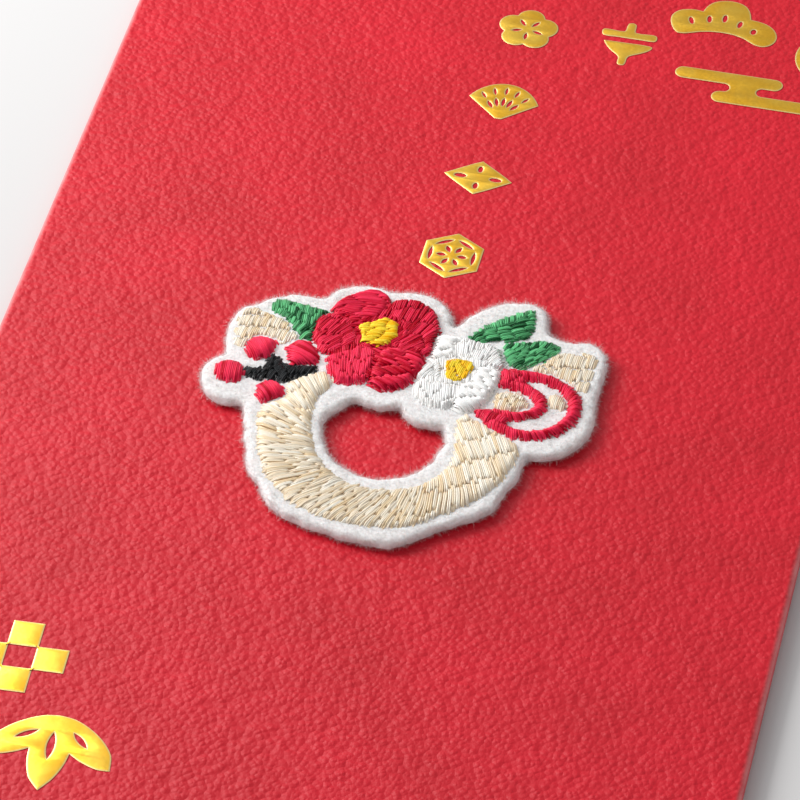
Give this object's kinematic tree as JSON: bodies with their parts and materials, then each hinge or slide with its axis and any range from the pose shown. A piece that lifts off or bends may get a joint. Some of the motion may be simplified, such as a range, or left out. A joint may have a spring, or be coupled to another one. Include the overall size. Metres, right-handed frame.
{
  "type": "money envelope",
  "caption": "Tall paper envelope for gift money, with a turning back flap, an embroidered felt wreath glued to its front and hot-stamped gold ornaments.",
  "frame": {"origin": "middle of the envelope's outline, in the plane of its back flaps' outer faces, which it lies on", "axes": "+Z out of the decorated front, +Y towards the crease of the closing flap, +X to the right as the front is read"},
  "size_m": [0.07, 0.115, 0.003],
  "materials": {
    "red_paper": "fine leather-grain embossing, matt",
    "clear_glue": "thin dried film",
    "white_felt": "soft felt with short fibres",
    "straw_thread": "satin stitch in lustrous thread",
    "crimson_thread": "satin stitch in lustrous thread",
    "yellow_thread": "satin stitch in lustrous thread",
    "white_thread": "satin stitch in lustrous thread",
    "green_thread": "satin stitch in lustrous thread",
    "black_thread": "satin stitch in lustrous thread",
    "gold_foil": "hot-stamped metallic foil, bright"
  },
  "bodies": {
    "envelope": {"front_panel": "red_paper", "left_side_panel": "red_paper", "right_side_panel": "red_paper", "left_crease": "red_paper", "right_crease": "red_paper", "bottom_crease": "red_paper", "top_crease": "red_paper", "bottom_flap": "red_paper", "seam_glue": "clear_glue", "bottom_flap_glue": "clear_glue", "patch_glue": "clear_glue", "felt_base": "white_felt", "straw_ring": "straw_thread", "straw_ends_left": "straw_thread", "straw_ends_right": "straw_thread", "straw_tuft_inner": "straw_thread", "straw_tuft_outer": "straw_thread", "camellia_petal_1": "crimson_thread", "camellia_petal_2": "crimson_thread", "camellia_petal_3": "crimson_thread", "camellia_petal_4": "crimson_thread", "camellia_petal_5": "crimson_thread", "berry_1": "crimson_thread", "berry_2": "crimson_thread", "berry_3": "crimson_thread", "berry_4": "crimson_thread", "cord_outer_loop": "crimson_thread", "cord_inner_loop": "crimson_thread", "camellia_centre": "yellow_thread", "plum_centre": "yellow_thread", "plum_petal_1": "white_thread", "plum_petal_2": "white_thread", "plum_petal_3": "white_thread", "plum_petal_4": "white_thread", "plum_petal_5": "white_thread", "leaf_left": "green_thread", "leaf_right_upper": "green_thread", "leaf_right_lower": "green_thread", "berry_twig": "black_thread", "gold_ornament_1": "gold_foil", "gold_ornament_2": "gold_foil", "gold_ornament_3": "gold_foil", "gold_ornament_4": "gold_foil", "gold_spinning_top_band": "gold_foil", "gold_spinning_top_body": "gold_foil", "gold_pine": "gold_foil", "gold_haze": "gold_foil", "gold_thread_ball": "gold_foil", "gold_checker": "gold_foil", "gold_bamboo_leaves": "gold_foil"},
    "top_flap": {"top_flap": "red_paper"}
  },
  "joints": [
    {"name": "top_flap_fold", "type": "hinge", "parent": "envelope", "child": "top_flap", "pos_m": [0, 0.05675, 0.00075], "axis": [1, 0, 0], "range_deg": [0, 180]}
  ]
}
